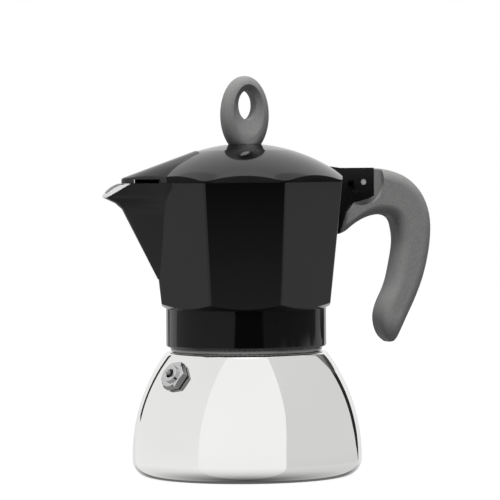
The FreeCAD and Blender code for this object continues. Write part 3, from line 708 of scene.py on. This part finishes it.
def eased_copy(node, name, sharp_angle, finish, flat_area=FLAT_AREA):
    """A copy of a solid with its facets shaded as true flats and rounds."""
    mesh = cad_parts[node].data.copy()
    mesh.name = name
    form = bmesh.new()
    form.from_mesh(mesh)
    bmesh.ops.remove_doubles(form, verts=form.verts, dist=SOLID_MERGE)
    bmesh.ops.triangulate(form, faces=form.faces)
    form.to_mesh(mesh)
    form.free()
    mesh.materials.clear()
    mesh.materials.append(finish)
    shade_flats_and_rounds(mesh, sharp_angle, flat_area)
    piece = bpy.data.objects.new(name, mesh)
    bpy.context.scene.collection.objects.link(piece)
    return piece


def inside_collector(centre, normal):
    """Whether a face of the casting is one of its bare inner faces."""
    x, y, z = centre / MM
    flat = math.hypot(x, y)
    outward = (x * normal.x + y * normal.y) / max(flat, NEARLY_NONE)
    if x < SPOUT_TIP_X and normal.z > LIP_FACES_UP:
        return True
    if z > RIM_Z - RIM_PLAY or x > LUG_X:
        return False
    if z < UNDERSIDE_Z + CHAMBER_FLOOR:
        inside_collar = outward < COLLAR_FACES_IN or abs(normal.z) > FACES_UP or z > COLLAR_FOOT_Z
        return flat < COLLAR_R - COLLAR_WALL and inside_collar
    if x < SPOUT_X and abs(y) > OFF_MIDDLE:
        return y * normal.y < -NEARLY_NONE * abs(y) or normal.x > SPOUT_FACES_BACK
    return outward < CHAMBER_FACES_IN or (normal.z > FACES_UP and z < CHAMBER_MIDDLE_Z)


def make_collector():
    piece = eased_copy("collector", "collector_body", sharp_angle=26, finish=ENAMEL)
    piece.data.materials.append(ALUMINIUM)
    piece.data.materials.append(DULL_ENAMEL)
    for face in piece.data.polygons:
        x, _, z = face.center / MM
        on_rim = face.normal.z > RIM_FACES_UP and abs(z - RIM_Z) < RIM_PLAY and x > OPEN_LIP_X
        face.material_index = 2 if on_rim else int(inside_collector(face.center, face.normal))
    stand_for(piece, "collector", "black_enamel", "collector")


def make_lid():
    piece = eased_copy("lid", "lid_dome", sharp_angle=26, finish=ENAMEL)
    piece.data.materials.append(ALUMINIUM)
    for corner in piece.data.vertices:
        if abs(corner.co.z / MM - LID_FOOT_Z) < LID_FOOT_PLAY:
            corner.co.z -= LID_SETTLES * MM
    for face in piece.data.polygons:
        x, _, z = face.center / MM
        inner = face.normal.z < LID_FACES_DOWN and z > RIM_Z + LID_INSIDE and x < LID_EARS_X
        face.material_index = int(inner)
    stand_for(piece, "lid", "black_enamel", "lid")


def knurl_tree():
    """A pin along Y with fine ridges round it."""
    tree = Tree("knurl")
    count = tree.size("Ridges", "Int", KNURL_RIDGES)
    radius = tree.size("Ridge circle", "Float", (PIN_R - KNURL_DEPTH) * MM)
    thick = tree.size("Ridge radius", "Float", KNURL_R * MM)
    length = tree.size("Length", "Float", 2 * PIN_HALF * MM)
    ring = tree.node("GeometryNodeCurvePrimitiveCircle", {}, {"Resolution": count, "Radius": radius})
    points = tree.node("GeometryNodeCurveToPoints", {"mode": "EVALUATED"}, {"Curve": ring})
    ridge = tree.node("GeometryNodeMeshCylinder", {}, {
        "Vertices": KNURL_SIDES, "Radius": thick, "Depth": length})
    ridges = tree.node("GeometryNodeInstanceOnPoints", {}, {"Points": points, "Instance": ridge})
    core = tree.node("GeometryNodeMeshCylinder", {}, {
        "Vertices": PIN_SIDES, "Radius": radius, "Depth": length})
    both = tree.node("GeometryNodeJoinGeometry", {}, {"Geometry": [ridges, core]})
    across = tree.node("GeometryNodeTransform", {}, {
        "Geometry": both, "Rotation": (math.pi / 2, 0, 0), "Translation": (PIN_X * MM, 0, PIN_Z * MM)})
    tree.close(across)
    return tree


def make_pin():
    piece = knurl_tree().grow("hinge_pin_knurled", bpy.data.meshes.new("pin_start"), PIN_STEEL)
    smooth_shaded(piece.data, sharp_angle=40)
    stand_for(piece, "collector", "plain_steel", "hinge_pin")


def make_valve_body():
    """The hexagon with its boss: bright turned faces, and flats painted darker as a painted reflection of
    dark surroundings.
    """
    piece = eased_copy("valve_body", "valve_hexagon", sharp_angle=20, finish=PLATED, flat_area=HEX_FLAT_AREA)
    piece.data.materials.append(HEX_FLATS_PAINTED_DARK)
    wall, outward = valve_axis()
    for face in piece.data.polygons:
        from_wall = face.center - wall
        off_axis = from_wall - outward * from_wall.dot(outward)
        on_flat = abs(face.normal.dot(outward)) < HEX_FACES_OUT and off_axis.length > HEX_INSIDE_R * MM
        face.material_index = int(on_flat)
    stand_for(piece, "boiler", "plated_brass", "valve_body")


def make_spring():
    """The valve's coil, with its place worked into its mesh."""
    piece = eased_copy("valve_spring", "valve_coil", sharp_angle=50, finish=PIN_STEEL)
    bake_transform(piece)
    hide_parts("valve_spring")


def make_rest():
    """Pieces whose solids are right as they are, and the finishes of the hidden ones."""
    shown = (
        ("handle_grip", "handle_hook", 28, PLASTIC, "collector", "grey_plastic"),
        ("knob", "knob_ring", 32, PLASTIC, "lid", "grey_plastic"),
        ("valve_plunger", "valve_pin", 30, PIN_STEEL, "valve_stem", "plain_steel"),
        ("coffee_column", "coffee_pipe", 25, ALUMINIUM, "collector", "bare_aluminium"),
    )
    for node, name, sharp_angle, finish, body, slot_name in shown:
        stand_for(eased_copy(node, name, sharp_angle, finish), body, slot_name, node)
    kept = {
        PLATED: ("valve_lock_nut", "valve_seat"),
        PIN_STEEL: ("handle_screw", "knob_washer", "knob_screw"),
        ALUMINIUM: ("funnel_basket", "funnel_tube", "funnel_strainer", "filter_plate"),
        SILICONE: ("valve_washer", "valve_seal", "gasket"),
    }
    for finish, names in kept.items():
        for name in names:
            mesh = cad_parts[name].data
            mesh.materials.clear()
            mesh.materials.append(finish)


boiler_bell = make_boiler()
make_collector()
make_lid()
make_pin()
make_valve_body()
make_spring()
make_rest()


def towards(bearing, rise):
    """A direction from the pot; bearing in degrees to the right of the camera, rise above the horizon."""
    b = math.radians(bearing)
    e = math.radians(rise)
    level = TO_CAMERA * math.cos(b) + TO_RIGHT * math.sin(b)
    return level * math.cos(e) + Vector((0, 0, math.sin(e)))


def glow():
    """Clear sheet whose light is kept on the panel's own points, so one panel never hides another."""
    f = Finish("panel_glow")
    strength = f.node("ShaderNodeAttribute", {"attribute_name": "glow"}, output="Fac")
    light = f.node("ShaderNodeEmission", {}, {"Strength": strength})
    clear = f.node("ShaderNodeBsdfTransparent")
    both = f.node("ShaderNodeAddShader", {}, {0: light, 1: clear})
    f.feed(f.tree.nodes["Material Output"].inputs["Surface"], both)
    f.tree.nodes.remove(f.surface)
    return f.material


def panel(name, stops, material, receivers=None, reach=PANEL_REACH):
    """A studio panel that only reflections see.

    Each stop is a rise, the panel's left and right bearings there, and its strength.
    """
    points = []
    glows = []
    for rise, left, right, strength in stops:
        for i in range(PANEL_COLUMNS + 1):
            points.append(towards(left + (right - left) * i / PANEL_COLUMNS, rise) * reach)
            glows.append(strength)
    row = PANEL_COLUMNS + 1
    faces = []
    for j in range(len(stops) - 1):
        for a in range(j * row, j * row + PANEL_COLUMNS):
            faces.append((a, a + 1, a + row + 1, a + row))
    mesh = bpy.data.meshes.new(name)
    mesh.from_pydata(points, [], faces)
    mesh.attributes.new("glow", "FLOAT", "POINT").data.foreach_set("value", glows)
    mesh.materials.append(material)
    screen = bpy.data.objects.new(name, mesh)
    bpy.context.scene.collection.objects.link(screen)
    screen.visible_camera = False
    screen.visible_diffuse = False
    screen.visible_shadow = False
    if receivers:
        screen.light_linking.receiver_collection = receivers
    screen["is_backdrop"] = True


def group_of(name, objects):
    group = bpy.data.collections.new(name)
    for piece in objects:
        group.objects.link(piece)
    return group


def make_floor():
    f = Finish("pale_floor")
    pale = f.mixed(f.grain(6), grey(0.88), grey(0.90))
    f.set(Base_Color=pale, Roughness=0.9, Emission_Color=pale, Emission_Strength=FLOOR_GLOW)
    bpy.ops.mesh.primitive_circle_add(vertices=FLOOR_SIDES, radius=FLOOR_R, fill_type="NGON")
    floor = bpy.context.object
    floor.name = "floor"
    floor.data.materials.append(f.material)
    floor.visible_glossy = False
    floor.visible_diffuse = False
    floor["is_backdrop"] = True


def make_world():
    """White behind the pot for the camera, a dim room in reflections and soft light all round."""
    world = bpy.data.worlds.new("studio")
    bpy.context.scene.world = world
    world.use_nodes = True
    sky = Shading(world.node_tree)
    sky.tree.nodes.clear()
    shown = sky.node("ShaderNodeBackground", {}, {"Color": grey(ROOM)})
    for ray, level in (("Is Diffuse Ray", AROUND), ("Is Camera Ray", 1.0)):
        seen = sky.node("ShaderNodeLightPath", output=ray)
        light = sky.node("ShaderNodeBackground", {}, {"Color": grey(level)})
        shown = sky.node("ShaderNodeMixShader", {}, {0: seen, 1: shown, 2: light})
    sky.feed(sky.tree.nodes.new("ShaderNodeOutputWorld").inputs["Surface"], shown)


def leaning(left, right, levels):
    """Stops of a panel between two leaning edges, with its strength at each rise."""
    return [(rise, left[rise], right[rise], strength) for rise, strength in levels.items()]


def upright(left, right, levels):
    """Stops of a panel between two bearings, with its strength at each rise."""
    return [(rise, left, right, strength) for rise, strength in levels.items()]


def make_panels(steel, others):
    """Panels all round and overhead, and others below, for the steel alone or for the rest."""
    lit = glow()
    panel("front_panel", leaning(LEFT_SEAM, RIGHT_SEAM, {
        PANEL_FOOT: 0.92, GAP_CLOSED: 0.92, PANEL_TOP: 0.92}), lit)
    panel("left_panel", leaning(LEFT_END, LEFT_SEAM, {
        PANEL_FOOT: 0.83, GAP_TOP: 0.82, GAP_CLOSED: 0.82, PANEL_TOP: 0.80}), lit)
    panel("right_panel", leaning(RIGHT_SEAM, RIGHT_END, {
        PANEL_FOOT: 0.66, GAP_TOP: 0.66, GAP_CLOSED: 0.66, PANEL_TOP: 0.70}), lit)
    panel("back_panel", upright(BACK_LEFT, BACK_RIGHT, {
        PANEL_FOOT: 0.82, GAP_CLOSED: 0.95, PANEL_TOP: 1.1}), lit)
    panel("ceiling", upright(-180, 180, {PANEL_TOP: 1.2, ZENITH: 1.2}), lit)

    left_foot = LEFT_SEAM[PANEL_FOOT]
    right_foot = RIGHT_SEAM[PANEL_FOOT]
    steel_feet = {
        "steel_front_foot": upright(left_foot, right_foot, {
            PANEL_FOOT: 0.92, -8: 0.90, -30: 0.76, -50: 0.58, -75: 0.24, NADIR: 0.10}),
        "steel_left_foot": upright(LEFT_END[PANEL_TOP], left_foot, {
            PANEL_FOOT: 0.83, -8: 0.86, -30: 0.72, -50: 0.42, -75: 0.12, NADIR: 0.06}),
        "steel_right_foot": upright(right_foot, RIGHT_END[PANEL_FOOT], {PANEL_FOOT: 0.66})
        + upright(right_foot, RIGHT_EDGE, {-2: 0.66})
        + upright(right_foot, BACK_LEFT, {
            -6: 0.64, -8: 0.68, -30: 0.62, -50: 0.42, -75: 0.14, NADIR: 0.05}),
        "steel_back_foot": upright(BACK_LEFT, BACK_RIGHT, {
            PANEL_FOOT: 0.82, -8: 0.75, -25: 0.15, NADIR: 0.04}),
    }
    facet_left, facet_right = FRONT_FACET
    other_feet = {
        "left_foot": upright(-SIDE_FACETS, facet_left, {
            0: 0.31, -4: 0.31, -6: 0.61, -30: 0.61, NADIR: 0.15}),
        "right_foot": upright(facet_right, SIDE_FACETS, {
            0: 0.12, -4: 0.12, -6: 0.61, -30: 0.61, NADIR: 0.15}),
        "left_edge_foot": upright(LEFT_END[PANEL_FOOT], -SIDE_FACETS, {0: 0.74, -30: 0.74, NADIR: 0.2}),
        "right_edge_foot": upright(SIDE_FACETS, RIGHT_EDGE, {0: 0.55, -30: 0.55, NADIR: 0.2}),
        "front_foot": upright(facet_left, facet_right, {-9.3: 0.0, -14.0: 0.36, -30: 0.56, NADIR: 0.2}),
        "back_foot": upright(BACK_FACET, BACK_RIGHT, {PANEL_FOOT: 0.82, -30: 0.6, NADIR: 0.1}),
    }
    below = glow()
    below.cycles.emission_sampling = "NONE"
    for name, stops in steel_feet.items():
        panel(name, stops, below, steel)
    for name, stops in other_feet.items():
        panel(name, stops, below, others, FOOT_REACH)


def make_key(others):
    """Soft light from high in front, for everything but the steel."""
    key = bpy.data.lights.new("overhead", "SUN")
    key.energy = KEY_ENERGY
    key.angle = KEY_ANGLE
    lamp = bpy.data.objects.new("overhead", key)
    lamp.rotation_mode = "QUATERNION"
    lamp.rotation_quaternion = towards(KEY_BEARING, KEY_RISE).to_track_quat("Z", "Y")
    lamp.visible_glossy = False
    lamp.light_linking.receiver_collection = others
    bpy.context.scene.collection.objects.link(lamp)


def make_lights():
    steel = group_of("steel_pieces", [boiler_bell])
    others = group_of("other_pieces", [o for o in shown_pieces() if o is not boiler_bell])
    make_panels(steel, others)
    make_key(others)


def make_camera():
    camera = bpy.data.cameras.new("camera")
    camera.lens = CAMERA_LENS
    camera.sensor_width = CAMERA_SENSOR
    camera.clip_end = CAMERA_SEES
    stand = bpy.data.objects.new("camera", camera)
    bpy.context.scene.collection.objects.link(stand)
    across, height = PICTURE_MIDDLE
    target = TO_RIGHT * across + Vector((0, 0, height))
    stand.location = TO_CAMERA * CAMERA_DISTANCE + TO_RIGHT * across + Vector((0, 0, CAMERA_HEIGHT))
    aim = (target - stand.location).to_track_quat("-Z", "Y").to_matrix().to_4x4()
    stand.matrix_world = Matrix.Translation(stand.location) @ aim @ Matrix.Rotation(CAMERA_ROLL, 4, "Z")
    bpy.context.scene.camera = stand
    bpy.context.scene.view_settings.view_transform = "Standard"


make_floor()
make_world()
make_lights()
make_camera()
